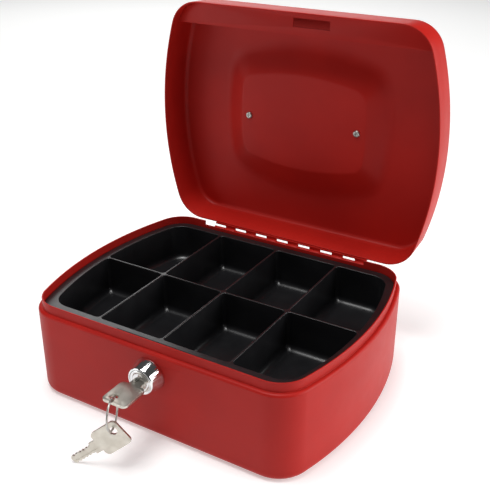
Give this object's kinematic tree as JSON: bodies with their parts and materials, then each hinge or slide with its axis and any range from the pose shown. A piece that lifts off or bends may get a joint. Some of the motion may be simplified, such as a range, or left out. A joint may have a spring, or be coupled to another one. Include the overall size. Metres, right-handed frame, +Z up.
{
  "type": "cash box",
  "caption": "Portable steel cash box with a hinged lid, a lift-out coin tray, a key-turned hook lock, a folding carrying handle and keys on a ring.",
  "frame": {"origin": "on the table plane, under the middle of the base", "axes": "+Z up; the lock faces -Y and the hinge runs along X at the back, +Y; +X is to the right seen from the front"},
  "size_m": [0.25, 0.281, 0.2649],
  "materials": {
    "base_enamel": "red sprayed enamel, semi-gloss",
    "lid_enamel": "red sprayed enamel, semi-gloss",
    "tray_plastic": "black moulded polystyrene, fine texture",
    "chrome_trim": "polished chrome plating",
    "zinc_plate": "bright zinc-plated steel",
    "nickel_key": "nickel-plated, tumbled",
    "brass_lock": "machined",
    "handle_plate": "nickel plating, satin",
    "pivot_plastic": "black moulded nylon"
  },
  "bodies": {
    "base": {"base_shell": "base_enamel", "tray_rests": "base_enamel", "hinge_leaf_base": "base_enamel", "hinge_pin": "zinc_plate", "lock_collar": "chrome_trim", "lock_housing": "chrome_trim", "lock_washer": "zinc_plate", "lock_nut": "zinc_plate"},
    "lid": {"lid_shell": "lid_enamel", "hinge_leaf_lid": "lid_enamel", "lock_strip": "lid_enamel", "handle_pivot_left": "pivot_plastic", "handle_pivot_right": "pivot_plastic", "handle_screws": "zinc_plate"},
    "handle": {"handle_bail": "handle_plate"},
    "plug": {"lock_plug": "chrome_trim", "lock_wafers": "brass_lock", "lock_cam": "zinc_plate", "cam_screw": "zinc_plate"},
    "key": {"key_in_lock": "nickel_key"},
    "ring": {"key_ring": "zinc_plate"},
    "spare": {"key_spare": "nickel_key"},
    "tray": {"coin_tray": "tray_plastic"}
  },
  "joints": [
    {"name": "lid_hinge", "type": "hinge", "parent": "base", "child": "lid", "pos_m": [0, 0.1007, 0.0682], "axis": [1, 0, 0], "range_deg": [0, 90]},
    {"name": "handle_swing", "type": "hinge", "parent": "lid", "child": "handle", "pos_m": [0, 0.1272, 0.1709], "axis": [1, 0, 0], "range_deg": [0, 180]},
    {"name": "plug_turn", "type": "hinge", "parent": "base", "child": "plug", "pos_m": [0.001, 0, 0.0525], "axis": [0, -1, 0], "range_deg": [0, 90]},
    {"name": "key_pull", "type": "slide", "parent": "plug", "child": "key", "axis": [0, 1, 0], "range_m": [-0.03, 0]},
    {"name": "ring_swing", "type": "hinge", "parent": "key", "child": "ring", "pos_m": [-0.0001, -0.13543, 0.055], "axis": [0.3746, -0.9272, 0], "range_deg": [-12, 1]},
    {"name": "spare_swing", "type": "hinge", "parent": "ring", "child": "spare", "pos_m": [-0.0001, -0.13543, 0.0326], "axis": [0.3746, -0.9272, 0], "range_deg": [-40, 1]},
    {"name": "tray_lift", "type": "slide", "parent": "base", "child": "tray", "axis": [0, 0, -1], "range_m": [-0.08, 0]}
  ]
}
